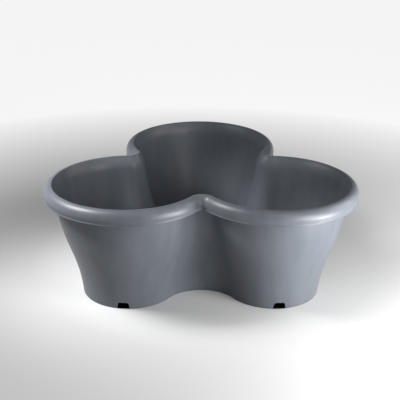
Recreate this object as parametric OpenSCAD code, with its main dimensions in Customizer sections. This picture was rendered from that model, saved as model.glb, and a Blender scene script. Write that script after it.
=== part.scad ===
// A moulded plant pot with three round pockets in one open trough.
// Its outline is three pocket arcs and three crease arcs, each tangent to the next. Every line of the pot's
// side and rim is that outline moved inwards, so its section is drawn once and turned about six axes.
// The origin is on the ground, in the middle of the space that the pot takes up. The back pocket lies on +Y.

/* [Overall shape] */
// Height from the ground to the top of the rim
pot_h = 188; // [150:1:230]
// Radius of a pocket at the widest line of the rim
pocket_r = 133; // [122:1:150]
// Distance from the pot's axis to the centre of a pocket
pocket_offset = 135; // [126:1:146]
// Radius of the crease between two pockets, at the widest line of the rim
crease_r = 7; // [5:0.5:20]

/* [Side wall] */
// Thickness of the side wall, measured level
wall_t = 3; // [2:0.1:4.5]
// How far the foot stands inside the widest line of the rim
foot_in = 56; // [46:1:66]
// How far the neck under the rim stands inside the widest line of the rim
neck_in = 17.5; // [16:0.5:24]
// How strongly the side sways into an S, where 0 is a straight cone
sway_share = 0.5; // [0:0.05:0.8]
// Size of the bevel on the edge that the pot stands on
foot_bevel = 0.8; // [0.3:0.1:1]

/* [Rolled rim] */
// Height of the rim, from its lip to its top
rim_h = 22; // [19:0.5:28]
// How far the widest line of the rim lies below its top
rim_drop = 15; // [12:0.5:16]
// How far the crest of the rim stands inside its widest line
crest_in = 12.5; // [10:0.5:14]
// Thickness of the rolled part of the rim
rim_t = 3; // [2:0.1:4]
// Radius of the inner edge of the rim
rim_edge_r = 1.2; // [0.6:0.1:1.8]
// Height of the bead along the lip
lip_bead_h = 2.4; // [1.6:0.1:3]
// How far the bead stands out of the shallow groove over it
lip_bead_out = 0.9; // [0.4:0.1:1.4]

/* [Floor] */
// Height of the floor's underside over the ground
floor_lift = 14; // [14:0.5:22]
// Thickness of the floor
floor_t = 3; // [2.4:0.1:5]
// Thickness of the ribs under the floor
rib_t = 2.4; // [1.6:0.1:4]
// Height of the ribs under the floor
rib_h = 7; // [4:0.5:10]
// How much further down the ribs reach than their ring and the drains' collars
rib_step = 1; // [0.5:0.5:3]
// Outer radius of the ring where the ribs meet
hub_r = 20; // [14:1:36]

/* [Foot notches] */
// Width of a notch at the ground
notch_w = 20; // [12:1:28]
// Width of a notch at its top
notch_top_w = 16; // [8:1:20]
// Height of a notch
notch_h = 11; // [6:0.5:12]
// Radius of a notch's upper corners
notch_corner_r = 4; // [1:0.5:5]
// Angle of a notch from its pocket's outermost line, seen from the pocket's centre
notch_turn = 55; // [30:1:80]

/* [Drains] */
// Radius of a drain hole
drain_r = 11; // [7:0.5:16]
// Thickness of the collar round a drain hole, under the floor
collar_t = 3; // [2:0.5:5]
// Depth of the seat that a plug's head lies in
seat_depth = 1.2; // [0.6:0.1:1.8]
// Gap between the seat's edge and the plug's head
seat_gap = 0.8; // [0.4:0.1:2]

/* [Drain plugs] */
// Gap all round between a plug's stem and its hole
plug_fit = 0.08; // [0.04:0.01:0.1]
// How far a plug's head reaches past its stem
head_reach = 5; // [3:0.5:8]
// Thickness of a plug's head at its edge
head_t = 2; // [1.4:0.1:3]
// How far the middle of a plug's head rises over its edge
head_rise = 1; // [0.4:0.1:2]
// Length of a plug's stem
stem_h = 10; // [6:0.5:14]
// Thickness of the stem's wall
stem_t = 2; // [1.4:0.1:3]
// Width of the tab that a plug is pulled out by
tab_w = 16; // [10:0.5:18]
// Thickness of the tab
tab_t = 3; // [2:0.1:5]
// Height of the tab over the head
tab_h = 8; // [5:0.5:12]

/* [Hidden] */
// How far a cut runs past the face that it opens
overrun = 1;
// Steps that each curve of the section is drawn in
side_steps = 14;
throat_steps = 6;
roll_steps = 10;
edge_steps = 3;
// Steps of the floor's edge round a pocket and round a crease
pocket_steps = 40;
crease_steps = 16;
// Roundness of full circles
$fn = 96;
full_turn = 360;
quarter_turn = 90;
third_turn = 120;
sixth_turn = 60;

// How much of the wall's lean between neck and crest is there from the start
throat_share = 0.3;
// How much of the bead's height is its lower edge
bead_edge_share = 0.35;
// How far the floor's edge, the ribs' ends and the collars reach into what they join
join_share = 0.5;
// The crease arcs run this far into the pocket arcs, and lie this little inside their faces
crease_lap_turn = 1.2;
crease_lap_step = 0.05;

shell_colour = [0.27, 0.29, 0.33];
plug_colour = [0.09, 0.10, 0.11];

// Directions of the three pockets and of the creases that follow them, counter-clockwise
back_way = 90;
left_way = back_way + third_turn;
right_way = left_way + third_turn;
pocket_ways = [back_way, left_way, right_way];

// The outline: how far the crease centres lie from the axis, and the turn of each arc to either side
crease_offset = pocket_offset / 2 + sqrt(pow(pocket_r + crease_r, 2) - 3 * pow(pocket_offset / 2, 2));
pocket_half_turn = quarter_turn - atan2(
    crease_offset * sin(back_way - sixth_turn) - pocket_offset, crease_offset * cos(back_way - sixth_turn));
crease_half_turn = pocket_half_turn - sixth_turn;
// The back pocket reaches further than the two in front, so the axis lies in front of the origin
axis_y = -pocket_offset / 4;

// Heights and insets of the section
neck_z = pot_h - rim_h;
widest_z = pot_h - rim_drop;
inner_edge_in = crest_in + rim_edge_r;
ceiling_in = inner_edge_in - wall_t;
ceiling_turn = acos((crest_in - ceiling_in) / (crest_in - rim_t));
ceiling_z = widest_z + (rim_drop - rim_t) * sin(ceiling_turn);
inner_edge_z = pot_h - rim_edge_r;
floor_top = floor_lift + floor_t;

// Inset of the side's outer face at the height z, from the ground to the neck
function side_in(z) = let (t = z / neck_z)
    foot_in - (foot_in - neck_in) * (t - sway_share * sin(full_turn * t) / (2 * PI));
// Distance from the axis to the middle of a pocket's far wall at the height z
function far_wall(z) = pocket_offset + pocket_r - side_in(z) - wall_t * join_share;
// Inset and height of the wall's outer face inside the rim, at the share t of the way up to the ceiling
function throat_in(t) = neck_in - (neck_in - ceiling_in) * (throat_share * t + (1 - throat_share) * t * t);
function throat_point(t, top_z, inwards) = [-throat_in(t) - inwards, neck_z + (top_z - neck_z) * t];
// A point of the roll, at the angle a up from its widest line, on the face that lies t inside its outer one
function roll_point(a, t) = [(crest_in - t) * cos(a) - crest_in, widest_z + (rim_drop - t) * sin(a)];

// The whole section of wall and rim as [place outwards from the widest line, height]
outer_side = [for (i = [0:side_steps]) let (z = foot_bevel + (neck_z - foot_bevel) * i / side_steps)
    [-side_in(z), z]];
outer_throat = [for (i = [1:throat_steps]) throat_point(i / throat_steps, ceiling_z, 0)];
ceiling = [for (i = [1:roll_steps]) roll_point(ceiling_turn * (1 - i / roll_steps), rim_t)];
lip = [
    [-rim_t, neck_z],
    [-lip_bead_out * bead_edge_share, neck_z],
    [0, neck_z + lip_bead_h * bead_edge_share],
    [-lip_bead_out, neck_z + lip_bead_h]
];
roll = [for (i = [0:roll_steps]) roll_point(quarter_turn * i / roll_steps, 0)];
inner_edge = [for (i = [1:edge_steps]) let (a = quarter_turn * (1 + i / edge_steps))
    [-crest_in + rim_edge_r * cos(a), inner_edge_z + rim_edge_r * sin(a)]];
inner_throat = [for (i = [1:throat_steps]) throat_point(1 - i / throat_steps, inner_edge_z, wall_t)];
inner_side = [for (i = [1:side_steps]) let (z = neck_z + (foot_bevel - neck_z) * i / side_steps)
    [-side_in(z) - wall_t, z]];
foot_edge = [[-foot_in - wall_t + foot_bevel, 0], [-foot_in - foot_bevel, 0]];
section = concat(
    outer_side, outer_throat, ceiling, lip, roll, inner_edge, inner_throat, inner_side, foot_edge);

// A closed outline drawn inwards by t: each corner moves along the mean of its two edges' normals
function left_normal(a, b) = [a[1] - b[1], b[0] - a[0]] / norm(b - a);
function drawn_in(points, t) = let (n = len(points)) [for (i = [0:n - 1]) let (
    here = points[i],
    before = left_normal(points[(i + n - 1) % n], here),
    after = left_normal(here, points[(i + 1) % n]))
    here + t * (before + after) / (1 + before * after)];

// Places and sizes of the drains and plugs
stem_r = drain_r - plug_fit;
head_r = stem_r + head_reach;
seat_r = head_r + seat_gap;
seat_z = floor_top - seat_depth;
collar_r = drain_r + collar_t;

// The outline moved inwards, as points
function outline(inset) = [for (way = pocket_ways) each concat(
    [for (i = [0:pocket_steps]) let (a = way + pocket_half_turn * (2 * i / pocket_steps - 1))
        pocket_offset * [cos(way), sin(way)] + (pocket_r - inset) * [cos(a), sin(a)]],
    [for (i = [1:crease_steps - 1]) let (
        crease_way = way + sixth_turn,
        a = crease_way + full_turn / 2 + crease_half_turn * (1 - 2 * i / crease_steps))
        crease_offset * [cos(crease_way), sin(crease_way)] + (crease_r + inset) * [cos(a), sin(a)]]
)];

// What follows, at each pocket's centre, turned so that +X points away from the pot's axis
module at_pockets() {
    for (way = pocket_ways)
        rotate(way)
            translate([pocket_offset, 0, 0])
                children();
}

// The section turned round a pocket, and round the crease that follows it, for each of the three
module wall_and_rim() {
    at_pockets()
        rotate(-pocket_half_turn)
            rotate_extrude(angle = 2 * pocket_half_turn)
                translate([pocket_r, 0])
                    polygon(section);
    for (way = pocket_ways)
        rotate(way + sixth_turn)
            translate([crease_offset, 0, 0])
                rotate(full_turn / 2 - crease_half_turn - crease_lap_turn)
                    rotate_extrude(angle = 2 * (crease_half_turn + crease_lap_turn))
                        translate([crease_r, 0])
                            mirror([1, 0])
                                polygon(drawn_in(section, crease_lap_step));
}

// The floor, whose edge lies in the middle of the wall
module floor_plate() {
    translate([0, 0, floor_lift])
        linear_extrude(floor_t)
            polygon(outline(side_in(floor_lift) + wall_t * join_share));
}

// Three ribs from the middle to each pocket's far wall, the ring that they meet in, and the drains' collars
module under_floor() {
    rib_z = floor_lift - rib_h;
    ring_z = rib_z + rib_step;
    rib_top = floor_lift + floor_t * join_share;
    rib_start = hub_r - rib_t * join_share;
    translate([0, 0, ring_z])
        linear_extrude(rib_top - ring_z)
            difference() {
                circle(hub_r);
                circle(hub_r - rib_t);
            }
    // A rib's far end leans as the wall does, and lies in the middle of it
    for (way = pocket_ways)
        rotate(way)
            rotate([quarter_turn, 0, 0])
                linear_extrude(rib_t, center = true)
                    polygon([
                        [rib_start, rib_z],
                        [far_wall(rib_z), rib_z],
                        [far_wall(rib_top), rib_top],
                        [rib_start, rib_top]
                    ]);
    at_pockets()
        translate([0, 0, ring_z])
            cylinder(h = rib_top - ring_z, r = collar_r);
}

// A drain hole through floor and collar, with the shallow seat for the plug's head
module drain_cut() {
    translate([0, 0, -overrun])
        cylinder(h = floor_top + 2 * overrun, r = drain_r);
    translate([0, 0, seat_z])
        cylinder(h = seat_depth + overrun, r = seat_r);
}

// Outline of a foot notch: sides that lean in, and rounded upper corners
module notch_outline() {
    lean = atan2(notch_h, (notch_w - notch_top_w) / 2);
    corner_x = notch_top_w / 2 - notch_corner_r * tan(lean / 2);
    polygon(concat(
        [[-notch_w / 2, -overrun], [notch_w / 2, -overrun], [notch_w / 2, 0]],
        [for (i = [0:roll_steps]) let (a = quarter_turn - lean * (1 - i / roll_steps))
            [corner_x + notch_corner_r * cos(a), notch_h - notch_corner_r + notch_corner_r * sin(a)]],
        [for (i = [0:roll_steps]) let (a = quarter_turn + lean * i / roll_steps)
            [-corner_x + notch_corner_r * cos(a), notch_h - notch_corner_r + notch_corner_r * sin(a)]],
        [[-notch_w / 2, 0]]
    ));
}

// Two notches in each pocket's foot
module foot_notch_cuts() {
    inner_r = pocket_r - foot_in - wall_t - overrun;
    outer_r = pocket_r - side_in(notch_h) + overrun;
    // A flat cut through a round wall starts further in at its sides
    start_r = sqrt(pow(inner_r, 2) - pow(notch_w / 2, 2));
    at_pockets()
        for (side = [-1, 1])
            rotate(side * notch_turn)
                translate([outer_r, 0, 0])
                    rotate([quarter_turn, 0, -quarter_turn])
                        linear_extrude(outer_r - start_r)
                            notch_outline();
}

// The pot itself, moulded in one piece
module pot_shell() {
    color(shell_colour)
        translate([0, axis_y, 0])
            difference() {
                union() {
                    wall_and_rim();
                    floor_plate();
                    under_floor();
                }
                at_pockets() drain_cut();
                foot_notch_cuts();
            }
}

// A plug: domed head, hollow stem with a bevelled end, and a tab to pull it by. Its hole's axis is at x = 0
module plug_body() {
    head_top = seat_z + head_t;
    stem_z = seat_z - stem_h;
    rotate_extrude()
        polygon([
            [0, seat_z],
            [stem_r - stem_t, seat_z],
            [stem_r - stem_t, stem_z],
            [stem_r - stem_t / 2, stem_z],
            [stem_r, stem_z + stem_t],
            [stem_r, seat_z],
            [head_r, seat_z],
            [head_r, head_top],
            [stem_r, head_top + head_rise],
            [0, head_top + head_rise]
        ]);
    // The tab is the upper part of a disc that stands on edge, sunk to the middle of the head
    tab_base = seat_z + head_t * join_share;
    tab_rise = head_top + head_rise + tab_h - tab_base;
    disc_r = (pow(tab_rise, 2) + pow(tab_w / 2, 2)) / (2 * tab_rise);
    translate([0, 0, tab_base])
        rotate([quarter_turn, 0, 0])
            linear_extrude(tab_t, center = true)
                intersection() {
                    translate([0, tab_rise - disc_r])
                        circle(disc_r);
                    translate([-tab_w / 2, 0])
                        square([tab_w, tab_rise]);
                }
}

// A plug in the pocket that lies in the given direction
module plug_in(way) {
    color(plug_colour)
        translate([0, axis_y, 0])
            rotate(way)
                translate([pocket_offset, 0, 0])
                    plug_body();
}

module drain_plug_back() { plug_in(back_way); }
module drain_plug_left() { plug_in(left_way); }
module drain_plug_right() { plug_in(right_way); }

pot_shell();
drain_plug_back();
drain_plug_left();
drain_plug_right();
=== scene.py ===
# %% [markdown]
# # A plant pot with three round pockets
#
# This lesson dresses a finished CAD model in Blender. The real thing is a low planter, half a metre wide,
# shaped as three round pots that have run together: one trough, open in the middle, with a fat rolled rim.
# It is moulded in one piece from grey plastic, so the rim, wall, floor and foot are one skin with no
# joints. Only the three plugs that close its drain holes come apart.
#
# The CAD model gives every place and size. We load it as a fixed frame, build finer pieces over it in
# metres, in the same frame, and tell each piece which moving body it rides on.

# %% Load the CAD model
import math

import bmesh
import bpy
import numpy as np
from mathutils import Matrix, Vector


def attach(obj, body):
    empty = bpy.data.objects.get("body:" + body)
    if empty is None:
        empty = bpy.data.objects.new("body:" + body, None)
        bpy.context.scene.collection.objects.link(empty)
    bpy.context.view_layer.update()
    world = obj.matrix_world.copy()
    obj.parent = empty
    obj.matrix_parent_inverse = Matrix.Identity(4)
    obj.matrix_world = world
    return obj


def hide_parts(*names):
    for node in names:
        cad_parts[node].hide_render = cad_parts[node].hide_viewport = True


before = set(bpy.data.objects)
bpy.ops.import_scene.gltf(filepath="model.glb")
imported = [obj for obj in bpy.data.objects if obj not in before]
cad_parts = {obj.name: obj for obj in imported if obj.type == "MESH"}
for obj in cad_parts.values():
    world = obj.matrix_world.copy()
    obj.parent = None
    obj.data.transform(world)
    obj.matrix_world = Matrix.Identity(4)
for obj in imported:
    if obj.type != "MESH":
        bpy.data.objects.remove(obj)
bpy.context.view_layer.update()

MM = 0.001
scene = bpy.context.scene
print("CAD nodes:", sorted(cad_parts))

# %% [markdown]
# ## The pot's own sizes
#
# A moulding like this is drawn by a few sizes: one round pocket, how far the pockets stand apart, and the
# section of the wall. They are repeated here from the CAD source, in millimetres, because the dressed pot
# has to be the same pot. Everything finer, such as a rounded edge, is worked out from them.
#
# One could measure the CAD mesh instead. Named sizes are easier to read.

# %% Sizes in millimetres
POT_H = 188.0
POCKET_R = 133.0  # of a pocket, at the widest line of the rim
POCKET_OFFSET = 135.0  # from the pot's axis to a pocket's middle
CREASE_R = 7.0  # of the crease between two pockets
AXIS_Y = -POCKET_OFFSET / 4

WALL_T, FOOT_IN, NECK_IN, SWAY = 3.0, 56.0, 17.5, 0.5
RIM_H, RIM_DROP, CREST_IN, RIM_T, RIM_EDGE_R = 22.0, 15.0, 12.5, 3.0, 1.2
LIP_BEAD_H, LIP_BEAD_OUT = 2.4, 0.9
FLOOR_LIFT, FLOOR_T = 14.0, 3.0
NECK_Z, WIDEST_Z, FLOOR_TOP = POT_H - RIM_H, POT_H - RIM_DROP, FLOOR_LIFT + FLOOR_T
print("neck at", NECK_Z, "widest line at", WIDEST_Z, "floor at", FLOOR_TOP)

# %% [markdown]
# ## The outline, seen from above
#
# Three pocket arcs and three small crease arcs follow each other round the pot, each tangent to the next.
# The two cells below find where a crease's circle must lie to touch both pockets, and how far each arc
# turns.
#
# Such an outline could be drawn by hand as a curve. Worked out from circles, it stays exactly round, and it
# follows when a size changes.

# %% Where the arcs lie and how far they turn
POCKET_WAYS = {"back": 90.0, "left": 210.0, "right": 330.0}

crease_offset = POCKET_OFFSET / 2 + math.sqrt((POCKET_R + CREASE_R) ** 2 - 3 * (POCKET_OFFSET / 2) ** 2)
half_turn = 90 - math.degrees(math.atan2(
    crease_offset * math.sin(math.radians(30)) - POCKET_OFFSET, crease_offset * math.cos(math.radians(30))))


def heading(degrees):
    return np.array([math.cos(math.radians(degrees)), math.sin(math.radians(degrees))])


def pocket_middle(name):
    return heading(POCKET_WAYS[name]) * POCKET_OFFSET + [0, AXIS_Y]


print("a pocket arc turns", round(2 * half_turn, 1), "degrees, a crease arc", round(2 * half_turn - 120, 1))

# %% [markdown]
# ## The foot's notches
#
# The pot stands on the thin lower edge of its wall. Two notches under each pocket let drained water run
# out, and keep the pot from sealing itself to a wet floor. Each is a low arch with rounded upper corners.
#
# Cutting them with a Boolean would leave long thin faces in a wall that should shade smoothly. So the notch
# is built into the mesh: where it lies the columns stand close together, and each column carries how far
# its foot is lifted.

# %% How far a notch lifts the foot
NOTCH_W, NOTCH_TOP_W, NOTCH_H, NOTCH_CORNER_R, NOTCH_TURN = 20.0, 16.0, 11.0, 4.0, 55.0


def notch_lift(s):
    """How far the foot is lifted at s mm along it from the middle of a notch."""
    side = math.atan2(NOTCH_H, (NOTCH_W - NOTCH_TOP_W) / 2)
    corner = NOTCH_TOP_W / 2 - NOTCH_CORNER_R * math.tan(side / 2)
    s = abs(s)
    if s <= corner:
        return NOTCH_H
    if s >= NOTCH_W / 2:
        return 0.0
    arc_end = corner + NOTCH_CORNER_R * math.sin(side)
    if s <= arc_end:
        return NOTCH_H - NOTCH_CORNER_R + math.sqrt(NOTCH_CORNER_R**2 - (s - corner) ** 2)
    return (NOTCH_W / 2 - s) * math.tan(side)


print("lift across half a notch:", [round(notch_lift(s), 1) for s in (0, 4, 6, 8, 9, 10)])

# %% [markdown]
# ## One column of mesh for each direction
#
# The wall leans in by 56 mm towards its foot, so a curve with a bevel would not do: it keeps one distance.
# An outline of arcs has a useful habit instead. Every point keeps the same outward direction however far
# the outline is drawn in. So one point and one direction for each column is all that the whole pot needs.
#
# The CAD mesh cuts its arcs into flats, which lie up to 0.07 mm inside the true arc. The skin stands in by
# a little more than that, so that the dressed pot is never the larger of the two.

# %% The columns, all the way round
FLATS_IN = 0.08


def pocket_turns(steps=72, foot_r=POCKET_R - FOOT_IN - WALL_T / 2):
    """Turns off a pocket's axis, with the foot's lift at each: even steps, and close ones at the notches."""
    close = [0, 1.5, 3, 4.2, 5.2, 6.1, 6.9, 7.6, 8.15, 8.5, 8.9, 9.3, 9.65, 9.9, 10.0]
    turns = {}
    for side in (-NOTCH_TURN, NOTCH_TURN):
        for s in sorted({k * s for s in close for k in (-1, 1)}):
            turns[side + math.degrees(math.asin(s / foot_r))] = notch_lift(s)
    reach = math.degrees(math.asin(NOTCH_W / 2 / foot_r)) + 1.2
    for t in np.linspace(-half_turn, half_turn, steps + 1):
        if min(abs(t - NOTCH_TURN), abs(t + NOTCH_TURN)) > reach:
            turns[float(t)] = 0.0
    return sorted(turns.items())


columns = []  # (point on the widest line, outward direction, lift of the foot)
for way in POCKET_WAYS.values():
    for turn, lift in pocket_turns():
        out = heading(way + turn)
        columns.append((heading(way) * POCKET_OFFSET + POCKET_R * out, out, lift))
    crease = heading(way + 60) * crease_offset
    for turn in np.linspace(half_turn - 60, 60 - half_turn, 25)[1:-1]:
        out = -heading(way + 240 + turn)
        columns.append((crease - CREASE_R * out, out, 0.0))
start = np.array([point - FLATS_IN * out for point, out, _ in columns]) + [0, AXIS_Y]
outward = np.array([c[1] for c in columns])
foot_lift = np.array([c[2] for c in columns])
print(len(columns), "columns, widest line", np.round(np.ptp(start, axis=0), 1), "mm")

# %% [markdown]
# ## Rounded corners
#
# Real mouldings have no sharp corners, because plastic won't fill them and a knife edge would break. A
# Bevel modifier could round them afterwards. Rounding the drawn section first is lighter, and it lets each
# corner have its own radius. So one helper swaps each corner of a profile for a short arc, and the wall,
# the drains, the ring and the plugs all use it.

# %% A helper that rounds corners
def rounded(points, bend=24.0):
    """points are (w, z, radius). Each corner with a radius becomes an arc with a step every bend degrees."""
    out = []
    for i, (w, z, r) in enumerate(points):
        here = np.array([w, z])
        if r <= 0 or i in (0, len(points) - 1):
            out.append(here)
            continue
        a, b = np.array(points[i - 1][:2]) - here, np.array(points[i + 1][:2]) - here
        la, lb = np.linalg.norm(a), np.linalg.norm(b)
        a, b = a / la, b / lb
        corner = math.acos(max(-1.0, min(1.0, float(a @ b))))
        turn = math.pi - corner
        if turn < math.radians(6):
            out.append(here)
            continue
        cut = min(r / math.tan(corner / 2), 0.49 * la, 0.49 * lb)
        r = cut * math.tan(corner / 2)
        middle = here + (a + b) / np.linalg.norm(a + b) * (r / math.sin(corner / 2))
        first, last = here + a * cut - middle, here + b * cut - middle
        n = max(2, math.ceil(math.degrees(turn) / bend))
        for k in range(n + 1):
            p = first * math.sin(turn * (1 - k / n)) + last * math.sin(turn * k / n)
            out.append(middle + p / math.sin(turn))
    return out


print("a square corner becomes", len(rounded([(0, 0, 0), (1, 0, 0.3), (1, 1, 0)])) - 2, "points")

# %% [markdown]
# ## The lines of the wall
#
# The side is a long shallow S: it flares from the foot, stands up in the middle, and flares again to the
# neck. Over the neck the wall turns up inside the rolled rim, and the rim bulges out and down over it like
# a half-closed hand. Three formulas give these lines as a distance in from the rim's widest line, which is
# the outline of the last step.

# %% Side, throat and roll
def side_in(z):
    t = z / NECK_Z
    return FOOT_IN - (FOOT_IN - NECK_IN) * (t - SWAY * math.sin(2 * math.pi * t) / (2 * math.pi))


ceiling_in = CREST_IN + RIM_EDGE_R - WALL_T
ceiling_turn = math.acos((CREST_IN - ceiling_in) / (CREST_IN - RIM_T))
ceiling_z = WIDEST_Z + (RIM_DROP - RIM_T) * math.sin(ceiling_turn)


def throat_in(t):
    return NECK_IN - (NECK_IN - ceiling_in) * (0.3 * t + 0.7 * t * t)


def roll(turn, inside):
    """A point of the rolled rim, turn radians up from its widest line."""
    return ((CREST_IN - inside) * math.cos(turn) - CREST_IN,
            WIDEST_Z + (RIM_DROP - inside) * math.sin(turn))


def steps(a, b, n):
    return [a + (b - a) * i / n for i in range(n + 1)]


print("the side stands in by", [round(side_in(z), 1) for z in steps(0, NECK_Z, 4)], "from foot to neck")

# %% [markdown]
# ## The whole section
#
# Cut the pot from its middle outwards and this is the cut edge: from under the floor, down the inside of
# the foot, round the edge it stands on, up the side, round under the rolled rim and over it, and down
# inside to the floor again. The lip is a millimetre thin and wants a crisp edge. Where floor meets wall the
# moulder rounds generously, so that soil and roots don't catch and the mould fills.

# %% The section, from under the floor to its upper side
FILLET, UNDER_FILLET = 4.0, 1.5
UNDER_LAP, OVER_LAP, LAST_RING = 4.0, 7.5, 1.5  # how far the swept skin reaches in before the flat sheets

under_w, over_w = -side_in(FLOOR_LIFT) - WALL_T, -side_in(FLOOR_TOP) - WALL_T
points = [(under_w - UNDER_LAP - LAST_RING, FLOOR_LIFT, 0), (under_w - UNDER_LAP, FLOOR_LIFT, 0),
          (under_w, FLOOR_LIFT, UNDER_FILLET)]
points += [(-side_in(z) - WALL_T, z, 0) for z in (11.0, 8.0, 5.0, 2.6)]
points += [(-FOOT_IN - WALL_T, 0, 0.8), (-FOOT_IN, 0, 0.8)]
points += [(-side_in(z), z, 0) for z in steps(2.6, NECK_Z, 22)[:-1]]
points += [(-throat_in(t), NECK_Z + (ceiling_z - NECK_Z) * t, 0) for t in steps(0, 1, 6)[:-1]]
points += [(-throat_in(1), ceiling_z, 0.6)]
points += [(*roll(a, RIM_T), 0) for a in steps(ceiling_turn, 0, 9)[1:]]
points += [(-RIM_T, NECK_Z, 0.5), (-LIP_BEAD_OUT * 0.6, NECK_Z, 0.2), (0, NECK_Z + LIP_BEAD_H * 0.25, 0.4),
           (-LIP_BEAD_OUT, NECK_Z + LIP_BEAD_H, 0.6)]
points += [(*roll(a, 0), 0) for a in steps(0, math.pi / 2, 20)]
points += [(-CREST_IN + RIM_EDGE_R * math.cos(a), POT_H - RIM_EDGE_R + RIM_EDGE_R * math.sin(a), 0)
           for a in steps(math.pi / 2, math.pi, 5)[1:]]
points += [(-throat_in(t) - WALL_T, NECK_Z + (POT_H - RIM_EDGE_R - NECK_Z) * t, 0)
           for t in steps(1, 0, 7)[1:]]
points += [(-side_in(z) - WALL_T, z, 0) for z in steps(NECK_Z, 30.0, 17)[1:]]
points += [(-side_in(24.0) - WALL_T, 24.0, 0), (over_w, FLOOR_TOP, FILLET), (over_w - OVER_LAP, FLOOR_TOP, 0),
           (over_w - OVER_LAP - LAST_RING, FLOOR_TOP, 0)]
section = np.array(rounded(points))
print(len(section), "points round the section")

# %% [markdown]
# ## Mesh helpers
#
# Most of this pot is either swept or turned, and both are a grid of faces between neighbouring rows of
# points. One helper makes the grid. The lathe calls it with a profile turned about an upright axis. A third
# finds the edges of a loop, and the last turns a finished bmesh into an object.

# %% Grid, lathe and object
def add_grid(bm, rows, closed=True):
    """rows is a grid of points [column][point] in mm. Returns the grid's vertices."""
    grid = [[bm.verts.new(Vector(p) * MM) for p in row] for row in rows]
    n = len(grid)
    for i in range(n if closed else n - 1):
        a, b = grid[i], grid[(i + 1) % n]
        for j in range(len(a) - 1):
            bm.faces.new((a[j], b[j], b[j + 1], a[j + 1]))
    return grid


def lathe(bm, profile, middle, count=72):
    """Turns a profile of (radius, z) round an upright axis, in count steps."""
    rows = []
    for i in range(count):
        out = heading(360 * i / count)
        rows.append([(middle[0] + r * out[0], middle[1] + r * out[1], z) for r, z in profile])
    return add_grid(bm, rows)


def loop_edges(bm, verts):
    return [bm.edges.get((a, b)) for a, b in zip(verts, verts[1:] + verts[:1])]


def as_object(bm, name):
    mesh = bpy.data.meshes.new(name)
    bm.to_mesh(mesh)
    bm.free()
    piece = bpy.data.objects.new(name, mesh)
    scene.collection.objects.link(piece)
    return piece


print("mesh helpers:", [f.__name__ for f in (add_grid, lathe, loop_edges, as_object)])

# %% [markdown]
# ## Sweeping the section round the outline
#
# Every column gets the whole section: its point, plus its outward direction times each distance. At a notch
# the lowest part of the wall is squeezed upwards to make room, and the wall's lean is worked out again at
# the new height, so the notch lies in the true face of the pot.

# %% The skin of wall and rim
SQUEEZE_TOP = 24.0  # the wall's outer face is squeezed below this height to make room for a notch


def swept(column, lift):
    """The section at one column, with its foot lifted."""
    row = []
    for w, z in section:
        outer = w > -side_in(max(z, 0)) - WALL_T / 2
        top = SQUEEZE_TOP if outer else FLOOR_LIFT
        if lift > 0 and z < top - 0.01:
            new_z = lift + z * (top - lift) / top
            w += side_in(z) - side_in(new_z)
            z = new_z
        x, y = start[column] + outward[column] * w
        row.append((x, y, z))
    return row


shell = bmesh.new()
skin = add_grid(shell, [swept(i, foot_lift[i]) for i in range(len(columns))])
print("wall and rim:", len(shell.faces), "faces")

# %% [markdown]
# ## The drains
#
# Each pocket drains through one hole with a collar under it. Round the hole the floor steps down, so that
# the plug's head lies flush and water still runs to it. None of this shows in the photograph. It follows
# what planters of this kind have. Seat, hole and collar are one profile on the lathe.

# %% Seat, hole and collar
DRAIN_R, COLLAR_T, SEAT_DEPTH, SEAT_GAP = 11.0, 3.0, 1.2, 0.8
PLUG_FIT, HEAD_REACH = 0.08, 5.0
RIB_H, RIB_STEP, RIB_T, HUB_R = 7.0, 1.0, 2.4, 20.0
stem_r = DRAIN_R - PLUG_FIT
head_r = stem_r + HEAD_REACH
seat_r, seat_z = head_r + SEAT_GAP, FLOOR_TOP - SEAT_DEPTH
collar_r, collar_z = DRAIN_R + COLLAR_T, FLOOR_LIFT - RIB_H + RIB_STEP

drain_profile = rounded([
    (seat_r + 2.0, FLOOR_TOP, 0), (seat_r + 1.0, FLOOR_TOP, 0), (seat_r, FLOOR_TOP, 0.4),
    (seat_r, seat_z, 0.3), (DRAIN_R, seat_z, 0.4), (DRAIN_R, collar_z, 0.4), (collar_r, collar_z, 0.5),
    (collar_r, FLOOR_LIFT, 1.0), (collar_r + 2.0, FLOOR_LIFT, 0), (collar_r + 3.0, FLOOR_LIFT, 0)])
drains = [lathe(shell, drain_profile, pocket_middle(name)) for name in POCKET_WAYS]
print(len(drains), "drains of", len(drain_profile), "rings")

# %% [markdown]
# ## Marks that the mould leaves
#
# Melt enters through a gate in the middle of the underside, and leaves a shallow dimple with a nib in it.
# When the pot has set, round pins push it off the core, and each leaves a faint round print on the inside
# floor. They are a few tenths of a millimetre deep, yet they are what tells a moulding from a drawing of
# one.
#
# A bump map could fake them. As geometry they catch light properly from any side, and the lathe makes them
# with few lines.

# %% Gate and ejector pins
PIN_R, PIN_DEPTH, PIN_REACH = 6.0, 0.35, 44.0
GATE_R, GATE_DEPTH = 7.0, 0.6

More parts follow.
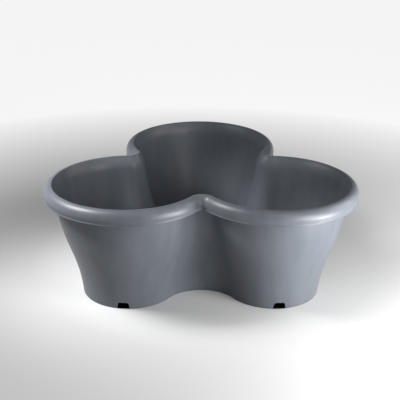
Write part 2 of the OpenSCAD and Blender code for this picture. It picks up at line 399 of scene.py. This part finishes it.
pin_profile = rounded([(PIN_R + 0.8, FLOOR_TOP, 0), (PIN_R, FLOOR_TOP, 0.15),
                       (PIN_R - 0.1, FLOOR_TOP - PIN_DEPTH, 0.1), (PIN_R - 1.0, FLOOR_TOP - PIN_DEPTH, 0)])
gate_profile = rounded([(GATE_R + 1.0, FLOOR_LIFT, 0), (GATE_R, FLOOR_LIFT, 0.4),
                        (GATE_R - 1.5, FLOOR_LIFT + GATE_DEPTH, 0.6), (1.9, FLOOR_LIFT + GATE_DEPTH, 0.2),
                        (1.5, FLOOR_LIFT + 0.1, 0.2), (0.6, FLOOR_LIFT + 0.15, 0)])
pins = []
for name, way in POCKET_WAYS.items():
    for turn in (-60, 60, 180):
        place = pocket_middle(name) + heading(way + turn) * PIN_REACH
        pins.append(lathe(shell, pin_profile, place, count=32))
gate = lathe(shell, gate_profile, (0, AXIS_Y), count=32)
for mark in pins + [gate]:
    shell.faces.new([row[-1] for row in mark])
print(len(pins), "pin prints and one gate")

# %% [markdown]
# ## The two sheets of the floor
#
# What is left of the floor is two flat sheets with round holes in them. Flat sheets need no grid, so
# Blender's own fill makes them from their edges. The volume printed at the end is that of the plastic,
# about 1.2 litres.

# %% Fill the sheets
for end, marks in ((0, [gate]), (-1, pins)):
    edges = loop_edges(shell, [row[end] for row in skin])
    for drain in drains:
        edges += loop_edges(shell, [row[0 if end else -1] for row in drain])
    for mark in marks:
        edges += loop_edges(shell, [row[0] for row in mark])
    bmesh.ops.triangle_fill(shell, use_beauty=True, use_dissolve=False, edges=edges)
bmesh.ops.recalc_face_normals(shell, faces=shell.faces)
print("open edges left:", sum(e.is_boundary for e in shell.edges), "volume in litres:",
      round(shell.calc_volume() * 1000, 3))
pot = as_object(shell, "three_pocket_pot")

# %% [markdown]
# ## Ribs under the floor
#
# A wide thin floor would sag under wet soil. Moulded pots stiffen it with upright ribs, here one to each
# pocket's far wall, from a ring in the middle. A rib is a flat plate whose far end leans with the wall, so
# it is drawn as an outline and given its thickness. Its lower edges are rounded over by a bevel.

# %% A rib, as an upright plate
RIB_Z, RIB_TOP = FLOOR_LIFT - RIB_H, FLOOR_LIFT + FLOOR_T / 2
RIB_EDGE_R = 0.5


def plate(bm, middle, along, across, thick, outline):
    """Adds an upright plate and returns its two faces. outline is its corners, (distance along, height)."""
    sides = []
    for s in (-thick / 2, thick / 2):
        flat = [middle + along * d + across * s for d, _ in outline]
        sides.append([bm.verts.new(Vector((x, y, z)) * MM) for (x, y), (_, z) in zip(flat, outline)])
    faces = [bm.faces.new(sides[0][::-1]), bm.faces.new(sides[1])]
    for i in range(len(outline)):
        j = (i + 1) % len(outline)
        bm.faces.new((sides[0][i], sides[0][j], sides[1][j], sides[1][i]))
    bmesh.ops.recalc_face_normals(bm, faces=bm.faces)
    return faces


def rib(name, way, outline):
    bm = bmesh.new()
    plate(bm, np.array([0, AXIS_Y]), heading(way), heading(way + 90), RIB_T, outline)
    low = [e for e in bm.edges if all(abs(v.co.z / MM - RIB_Z) < 0.01 for v in e.verts)]
    bmesh.ops.bevel(bm, geom=low, offset=RIB_EDGE_R * MM, segments=3, profile=0.5, affect="EDGES")
    return as_object(bm, name)


print("ribs run from", RIB_Z, "to", RIB_TOP, "mm")

# %% [markdown]
# ## Six ribs and their ring
#
# A drain's collar stands in the way of each rib, so each is made in two lengths, one to either side of it.
# The ribs start sunk a little into whatever they join, because two faces in exactly the same plane are what
# a Boolean handles worst. For the same reason the ring ends a millimetre higher than the ribs.

# %% Ribs and ring
def far_wall(z):
    return POCKET_OFFSET + POCKET_R - side_in(z) - WALL_T / 2


rib_start, collar_reach = HUB_R - RIB_T / 2, DRAIN_R + COLLAR_T / 2
near_end, far_start = POCKET_OFFSET - collar_reach, POCKET_OFFSET + collar_reach
ribs = []
for name, way in POCKET_WAYS.items():
    ribs.append(rib("rib_in_" + name, way, [
        (rib_start, RIB_Z), (near_end, RIB_Z), (near_end, RIB_TOP), (rib_start, RIB_TOP)]))
    ribs.append(rib("rib_out_" + name, way, [
        (far_start, RIB_Z), (far_wall(RIB_Z), RIB_Z), (far_wall(RIB_TOP), RIB_TOP), (far_start, RIB_TOP)]))

ring = bmesh.new()
ring_profile = rounded([
    (HUB_R, RIB_TOP, 0), (HUB_R, collar_z, 0.4), (HUB_R - RIB_T, collar_z, 0.4), (HUB_R - RIB_T, RIB_TOP, 0)])
lathe(ring, ring_profile + ring_profile[:1], (0, AXIS_Y))
bmesh.ops.remove_doubles(ring, verts=ring.verts, dist=1e-7)
bmesh.ops.recalc_face_normals(ring, faces=ring.faces)
ribs.append(as_object(ring, "rib_ring"))
print(len(ribs), "ribs and ring")

# %% [markdown]
# ## Joining them to the pot
#
# Ribs and ring could just cross the pot's skin, and nobody would see it in a render. But the real moulding
# has one skin, with nothing hidden inside it, and a mesh that is printed or measured must be so too. A
# Boolean union gives that. The manifold solver is quick and clean on closed meshes like these, and one
# modifier takes all seven pieces from a collection.

# %% One Boolean for all of them
def joined(target, operands):
    """Unites the operands with the target, then removes them."""
    group = bpy.data.collections.new("operands")
    for o in operands:
        group.objects.link(o)
    join = target.modifiers.new("join", "BOOLEAN")
    join.operation, join.operand_type, join.solver, join.collection = "UNION", "COLLECTION", "MANIFOLD", group
    mesh = bpy.data.meshes.new_from_object(target.evaluated_get(bpy.context.evaluated_depsgraph_get()))
    target.modifiers.clear()
    old, target.data = target.data, mesh
    mesh.name = old.name
    bpy.data.meshes.remove(old)
    for o in operands:
        bpy.data.objects.remove(o)
    bpy.data.collections.remove(group)


def smooth_but_sharp(piece, angle):
    """Smooth shading, with a sharp edge wherever two faces meet at more than angle degrees."""
    piece.data.polygons.foreach_set("use_smooth", [True] * len(piece.data.polygons))
    piece.data.set_sharp_from_angle(angle=math.radians(angle))
    piece.data.update()


joined(pot, ribs)
smooth_but_sharp(pot, 38)
print("pot:", len(pot.data.polygons), "faces,", len(pot.data.vertices), "points")

# %% [markdown]
# ## The drain plugs
#
# A plug is a soft push-in stopper. Its low domed head lies in the seat. Its hollow stem grips the hole, and
# has a bevelled end so that it finds its way. Head and stem are one turned profile, so the lathe makes
# them, with finer arcs than the pot's because a plug is looked at closely.

# %% A plug's head and stem
HEAD_T, HEAD_RISE, STEM_H, STEM_T = 2.0, 1.0, 10.0, 2.0
head_top, stem_z = seat_z + HEAD_T, seat_z - STEM_H
CENTRE_R = 0.4  # the turned faces end here, and a small flat face closes them


def plug_turned(name, middle):
    bm = bmesh.new()
    profile = rounded([
        (CENTRE_R, head_top + HEAD_RISE, 0), (stem_r, head_top + HEAD_RISE, 6.0), (head_r, head_top, 0.6),
        (head_r, seat_z, 0.4), (stem_r, seat_z, 0.2), (stem_r, stem_z + STEM_T, 0.8),
        (stem_r - STEM_T / 2, stem_z, 0.3), (stem_r - STEM_T, stem_z, 0.4), (stem_r - STEM_T, seat_z, 1.0),
        (CENTRE_R, seat_z, 0)], bend=15)
    rows = lathe(bm, profile, middle)
    for end in (0, -1):
        bm.faces.new([row[end] for row in rows])
    bmesh.ops.recalc_face_normals(bm, faces=bm.faces)
    return as_object(bm, name)


print("a plug's head is", round(2 * head_r, 1), "mm across")

# %% [markdown]
# ## The tab to pull it by
#
# Wet fingers need something to hold, so a flat tab stands on the head: the upper part of a disc, with its
# rims rolled over. It is the same upright plate as a rib, with an arc for its outline and a rounder bevel.
# It lies along its pocket's axis, so that the three plugs look alike from the middle of the pot.

# %% A plug's tab
TAB_W, TAB_T, TAB_H, TAB_EDGE_R = 16.0, 3.0, 8.0, 0.9


def plug_tab(name, middle, way):
    base = seat_z + HEAD_T / 2
    rise = head_top + HEAD_RISE + TAB_H - base
    disc_r = (rise**2 + (TAB_W / 2) ** 2) / (2 * rise)
    low = rise - disc_r
    spread = math.acos(-low / disc_r)
    outline = []
    for a in steps(-spread, spread, 28):
        across_tab = max(-TAB_W / 2, min(TAB_W / 2, disc_r * math.sin(a)))
        outline.append((across_tab, base + low + disc_r * math.cos(a)))
    bm = bmesh.new()
    faces = plate(bm, middle, heading(way), heading(way + 90), TAB_T, outline)
    rims = {e for face in faces for e in face.edges}
    bmesh.ops.bevel(bm, geom=list(rims), offset=TAB_EDGE_R * MM, segments=4, profile=0.5, affect="EDGES")
    return as_object(bm, name)


plugs = {}
for name, way in POCKET_WAYS.items():
    plug = plug_turned("plug_" + name, pocket_middle(name))
    joined(plug, [plug_tab("tab_" + name, pocket_middle(name), way)])
    smooth_but_sharp(plug, 35)
    plugs[name] = plug
print("plugs:", {k: len(v.data.polygons) for k, v in plugs.items()})

# %% [markdown]
# ## Building materials from nodes
#
# An image could carry the plastic's grain and its small faults, but a procedural material needs no map and
# stays sharp at any distance. It reads object coordinates, so it moves with the piece it is on. Node trees
# are long to write out, so four small helpers do the repeated work: add a node, add a colour ramp, add a
# noise, and turn a noise into a range.

# %% Helpers for the materials
def socket(tree, kind, name, value=None, link=None, **settings):
    """Adds a node, sets what it is given, and returns the named output."""
    node = tree.nodes.new(kind)
    for k, v in settings.items():
        setattr(node, k, v)
    for k, v in (value or {}).items():
        node.inputs[k].default_value = v
    for k, v in (link or {}).items():
        tree.links.new(v, node.inputs[k])
    return node.outputs[name]


def ramp(tree, fac, stops):
    node = tree.nodes.new("ShaderNodeValToRGB")
    while len(node.color_ramp.elements) < len(stops):
        node.color_ramp.elements.new(0.5)
    for e, (at, colour) in zip(node.color_ramp.elements, stops):
        e.position, e.color = at, (*colour, 1)
    tree.links.new(fac, node.inputs["Fac"])
    return node.outputs["Color"]


def noise(tree, place, scale, detail=3.0, rough=0.5, stretch=None):
    if stretch:
        place = socket(tree, "ShaderNodeMapping", "Vector", {"Scale": stretch}, {"Vector": place})
    return socket(tree, "ShaderNodeTexNoise", "Fac", {"Scale": scale, "Detail": detail, "Roughness": rough},
                  {"Vector": place})


def between(tree, fac, low, high, start=0.0, end=1.0):
    return socket(tree, "ShaderNodeMapRange", "Result",
                  {"From Min": start, "From Max": end, "To Min": low, "To Max": high}, {"Value": fac})


print("material helpers:", [f.__name__ for f in (socket, ramp, noise, between)])

# %% [markdown]
# ## Colour of the plastic
#
# The pot is grey polypropylene with a hint of blue. The pigment is mixed into the melt, so it is even to
# the eye, but not quite: it clouds over a hand's width, and draws faint upright streaks where the melt
# flowed up the wall. Two noises give these, one of them stretched along the height, and a ramp turns their
# mix into a drift of a few hundredths.

# %% Pigment drift
CLOUD_SCALE, FLOW_SCALE, FLOW_STRETCH = 7.0, 60.0, 0.12


def pigment(tree, place, dark, light):
    clouds = noise(tree, place, CLOUD_SCALE, 4.0)
    flow = noise(tree, place, FLOW_SCALE, 2.0, stretch=(1.0, 1.0, FLOW_STRETCH))
    drift = socket(tree, "ShaderNodeMix", "Result", {"Factor": 0.35}, {"A": clouds, "B": flow})
    return ramp(tree, drift, [(0.36, dark), (0.64, light)])


print("flow streaks are", round(1 / FLOW_STRETCH, 1), "times as tall as they are wide")

# %% [markdown]
# ## Wear
#
# Edges that get handled or stood on turn a touch paler and duller. Blender's pointiness finds such edges
# from the mesh itself, so nothing has to be painted, and a noise breaks the wear into patches. Real wear
# never follows an edge evenly.

# %% Worn edges
WEAR_STARTS, WEAR_IS_FULL, PATCH_SCALE = 0.53, 0.62, 150.0


def edge_wear(tree, place, worn):
    edge = socket(tree, "ShaderNodeNewGeometry", "Pointiness")
    sharp = between(tree, edge, 0.0, 1.0, WEAR_STARTS, WEAR_IS_FULL)
    patchy = between(tree, noise(tree, place, PATCH_SCALE, 3.0), 0.0, worn, 0.45, 0.7)
    return socket(tree, "ShaderNodeMath", "Value", None, {0: sharp, 1: patchy}, operation="MULTIPLY")


print("wear starts at pointiness", WEAR_STARTS, "where a flat face has 0.5")

# %% [markdown]
# ## Grain and shine
#
# The mould is spark-eroded, which leaves a grain far too fine to count but enough to blur the shine: a
# satin, with no mirror in it. The shine is uneven as well, duller where the melt cooled last. Roughness
# alone could blur it. A fine bump beside it keeps the highlight alive when the pot is seen closely, and a
# very shallow wide one gives it the slight waviness that moulded walls have.

# %% Grain as bump, shine as roughness
FINE_SCALE, COARSE_SCALE, WAVE_SCALE = 1400.0, 260.0, 16.0


def grain_bump(tree, place, depth, wave):
    fine = noise(tree, place, FINE_SCALE, 2.0, 0.6)
    coarse = noise(tree, place, COARSE_SCALE, 2.0)
    grain = socket(tree, "ShaderNodeMix", "Result", {"Factor": 0.3}, {"A": fine, "B": coarse})
    waves = socket(tree, "ShaderNodeBump", "Normal", {"Strength": 0.5, "Distance": wave * MM},
                   {"Height": noise(tree, place, WAVE_SCALE, 1.0)})
    return socket(tree, "ShaderNodeBump", "Normal", {"Strength": 0.6, "Distance": depth * MM},
                  {"Height": grain, "Normal": waves})


print("grain, grit and waves are about", [round(1000 / k, 1) for k in (FINE_SCALE, COARSE_SCALE, WAVE_SCALE)],
      "mm across")

# %% [markdown]
# ## Satin moulded plastic
#
# Pot and plugs are both moulded plastic, so one function makes both finishes. They differ in numbers only:
# the plugs are a softer, nearly black plastic, and duller.

# %% The two plastics
PLASTIC_IOR, SPECULAR, WORN_DULLER, WORN_PALER = 1.5, 0.35, 0.15, 2.0


def satin_plastic(name, dark, light, shine, depth, wave, worn):
    """dark and light bound the drift, shine is (smoothest, roughest), depth and wave are bumps in mm."""
    mat = bpy.data.materials.new(name)
    mat.use_nodes = True
    tree = mat.node_tree
    bsdf = tree.nodes["Principled BSDF"]
    place = socket(tree, "ShaderNodeTexCoord", "Object")
    wear = edge_wear(tree, place, worn)

    mix = tree.nodes.new("ShaderNodeMix")
    mix.data_type = "RGBA"
    tree.links.new(wear, mix.inputs[0])
    tree.links.new(pigment(tree, place, dark, light), mix.inputs[6])
    mix.inputs[7].default_value = (*[min(1.0, c * WORN_PALER) for c in light], 1)
    tree.links.new(mix.outputs[2], bsdf.inputs["Base Color"])

    dull = between(tree, noise(tree, place, 22.0, 5.0, 0.6), *shine)
    rough = socket(tree, "ShaderNodeMath", "Value", {1: WORN_DULLER}, {0: wear, 2: dull},
                   operation="MULTIPLY_ADD")
    tree.links.new(rough, bsdf.inputs["Roughness"])
    tree.links.new(grain_bump(tree, place, depth, wave), bsdf.inputs["Normal"])
    bsdf.inputs["IOR"].default_value = PLASTIC_IOR
    bsdf.inputs["Specular IOR Level"].default_value = SPECULAR
    return mat


pot_plastic = satin_plastic("satin_grey_plastic", dark=(0.066, 0.073, 0.086), light=(0.088, 0.097, 0.112),
                            shine=(0.37, 0.47), depth=0.05, wave=0.03, worn=0.5)
plug_plastic = satin_plastic("soft_black_plastic", dark=(0.012, 0.013, 0.014), light=(0.020, 0.021, 0.023),
                             shine=(0.46, 0.60), depth=0.04, wave=0.02, worn=0.3)
print("materials:", pot_plastic.name, plug_plastic.name)

# %% [markdown]
# ## Put the pieces in the frame
#
# Each piece gets its finish and the body it rides on. The CAD node that it stands for stays where it is,
# for the motion, and is no longer drawn.

# %% Finish, body and node for every piece
def settle(piece, material, body, node):
    piece.data.materials.clear()
    piece.data.materials.append(material)
    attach(piece, body)
    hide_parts(node)


settle(pot, pot_plastic, "pot", "pot_shell")
for name, plug in plugs.items():
    settle(plug, plug_plastic, "plug_" + name, "drain_plug_" + name)

# %% [markdown]
# ## The floor it stands on
#
# The pot stands on plain pale paper that lies on a light table. Paper lit from below is an even pale ground
# as far as one sees, from whichever side, and no lamp for the ground spills on the pot. Near the pot the
# glow fades away, so that the lamps' own light and the pot's shadow still lie on the paper. Plain emission
# from a sheet does it. Its strength follows the distance from the middle, which the object's coordinates
# give.

# %% Matt paper, and its glow
def matt(name, grey, rough, shine):
    mat = bpy.data.materials.new(name)
    mat.use_nodes = True
    bsdf = mat.node_tree.nodes["Principled BSDF"]
    bsdf.inputs["Base Color"].default_value = (grey, grey, grey, 1)
    bsdf.inputs["Roughness"].default_value = rough
    bsdf.inputs["Specular IOR Level"].default_value = shine
    return mat


def lit_from_below(mat, near, far):
    """Lets a material glow. near and far are (distance from the middle in metres, strength)."""
    tree = mat.node_tree
    place = socket(tree, "ShaderNodeTexCoord", "Object")
    distance = socket(tree, "ShaderNodeVectorMath", "Value", None, {0: place}, operation="LENGTH")
    glow = between(tree, distance, near[1], far[1], near[0], far[0])
    bsdf = tree.nodes["Principled BSDF"]
    bsdf.inputs["Emission Color"].default_value = (1, 1, 1, 1)
    tree.links.new(glow, bsdf.inputs["Emission Strength"])


pale_paper = matt("pale_paper", grey=0.42, rough=0.9, shine=0.2)
lit_from_below(pale_paper, near=(0.30, 0.06), far=(1.00, 0.84))
# Painted shade: a black sheet that stands for the deep shade under the pot.
painted_shade_paper = matt("painted_shade_paper", grey=0.004, rough=1.0, shine=0.0)
print("papers:", pale_paper.name, painted_shade_paper.name)

# %% [markdown]
# ## Paper, and a card of painted shade
#
# Through its foot notches one sees under the pot, and there it is black, because almost no light gets in.
# Pale paper would still gleam just behind a notch, so the shade there is painted: a black card, cut to the
# foot's own outline, lies under the pot where the shade falls, as a photographer would lay one. Both are
# stage, not part of the pot, and the paper lies a hair lower than the card.

# %% The paper, and a black card of painted shade under the pot
FLOOR_HALF, SHADE_CARD_T, SHADE_CARD_IN = 30000.0, 0.2, 0.3

bm = bmesh.new()
bm.faces.new([bm.verts.new(Vector((x * FLOOR_HALF, y * FLOOR_HALF, -SHADE_CARD_T)) * MM)
              for x, y in ((-1, -1), (1, -1), (1, 1), (-1, 1))])
floor = as_object(bm, "studio_floor")
floor.data.materials.append(pale_paper)

bm = bmesh.new()
edge = start - outward * (FOOT_IN + SHADE_CARD_IN)
bm.faces.new([bm.verts.new(Vector((x, y, -SHADE_CARD_T / 4)) * MM) for x, y in edge])
# Painted shade: the black card lies where only shade falls under the pot, and it is seen through the notches.
shade_card = as_object(bm, "painted_shade_card")
shade_card.data.materials.append(painted_shade_paper)
print("paper at", -SHADE_CARD_T, "mm, card", [round(v * 1000) for v in shade_card.dimensions], "mm")

# %% [markdown]
# ## The surround
#
# A studio is never quite black, because its walls send a little light back. A weak white surround stands
# for them, and keeps the deepest corners of the pockets from closing up. A strong one would be less work
# than lamps, but it lights a pot from all sides alike and takes its form away. The standard view transform
# keeps the greys as they are, with no film look over them.

# %% A weak pale surround
SURROUND = 0.14

world = bpy.data.worlds.new("pale_surround")
world.use_nodes = True
world.node_tree.nodes["Background"].inputs["Color"].default_value = (1, 1, 1, 1)
world.node_tree.nodes["Background"].inputs["Strength"].default_value = SURROUND
scene.world = world
scene.view_settings.view_transform = "Standard"
print("surround strength", SURROUND, "view transform", scene.view_settings.view_transform)

# %% [markdown]
# ## Soft lights
#
# The photograph's shading says where its lamps stood. The right wall is the brightest and the left flank
# the darkest, so the two key lamps are low on the right, with a weak one beyond them. Two more weak ones,
# in front of the pot and over it, open up the pockets. The rim carries a second streak far on the left, on
# its upper side only, so another lamp stands high on the left. A grid before it, which Blender calls the
# lamp's spread, holds its light in a narrow cone on the rim and out of the pockets.
#
# Soft boxes suit satin plastic, because its shine is the blurred shape of the lamp. They are hidden from
# the camera, so that none shows when the pot is seen from another side.

# %% Lamps
def softbox(name, place, aim, size, power, spread=180.0):
    """place, aim and size, the side of the square box, are in metres, power in watts, spread in degrees."""
    lamp = bpy.data.lights.new(name, "AREA")
    lamp.shape, lamp.size, lamp.energy = "SQUARE", size, power
    lamp.spread = math.radians(spread)
    box = bpy.data.objects.new(name, lamp)
    scene.collection.objects.link(box)
    box.location = place
    box.rotation_euler = (Vector(aim) - Vector(place)).to_track_quat("-Z", "Y").to_euler()
    box.visible_camera = False
    return box


POT_MIDDLE, RIGHT_RIM, LEFT_RIM = (0.0, -0.03, 0.10), (0.20, -0.17, 0.17), (-0.20, -0.09, 0.18)
lights = [
    softbox("key_right", (0.49, -0.57, 0.25), RIGHT_RIM, 0.3, 4.2),
    softbox("key_low_right", (0.56, -0.42, 0.08), POT_MIDDLE, 0.2, 6.0),
    softbox("right_side", (0.75, -0.03, 0.40), POT_MIDDLE, 0.35, 2.2),
    softbox("front_high", (0.26, -0.74, 0.80), POT_MIDDLE, 0.35, 1.0),
    softbox("front_top", (0.0, -0.43, 1.25), POT_MIDDLE, 0.6, 0.4),
    softbox("left_gridded", (-0.65, -0.13, 0.72), LEFT_RIM, 0.3, 1.5, 44.0),
]
print({box.name: round(box.data.energy, 1) for box in lights})

# %% [markdown]
# ## The camera
#
# The photograph was taken from about a metre and a half away, 22 degrees above the table, with a moderately
# long lens. These numbers come from matching the pot's outline by trial, and the frame is square. The camera
# needs its own axes, because it is turned a little about its line of sight, so its matrix is built from three
# directions.

# %% Camera at the photograph's viewing angle
ELEVATION, YAW, TILT = math.radians(22.069), math.radians(-0.804), math.radians(0.409)
DISTANCE, FOCAL_PIXELS, FRAME_PIXELS = 1.4342, 850.85, 400
aim = Vector((-0.00137, -0.03375, 0.12757))

level = math.cos(ELEVATION)
back = Vector((math.sin(YAW) * level, -math.cos(YAW) * level, math.sin(ELEVATION)))
right = (-back).cross(Vector((0, 0, 1))).normalized()
up = right.cross(-back)
right, up = right * math.cos(TILT) + up * math.sin(TILT), up * math.cos(TILT) - right * math.sin(TILT)

lens = bpy.data.cameras.new("photo_camera")
lens.sensor_width = 36.0
lens.lens = FOCAL_PIXELS / FRAME_PIXELS * lens.sensor_width
lens.clip_start, lens.clip_end = 0.05, 50.0
camera = bpy.data.objects.new("photo_camera", lens)
scene.collection.objects.link(camera)
turn = Matrix((right, up, back)).transposed().to_4x4()
camera.matrix_world = Matrix.Translation(aim + back * DISTANCE) @ turn
bpy.context.scene.camera = camera
print("lens", round(lens.lens, 1), "mm, camera at", [round(v, 3) for v in camera.matrix_world.translation])
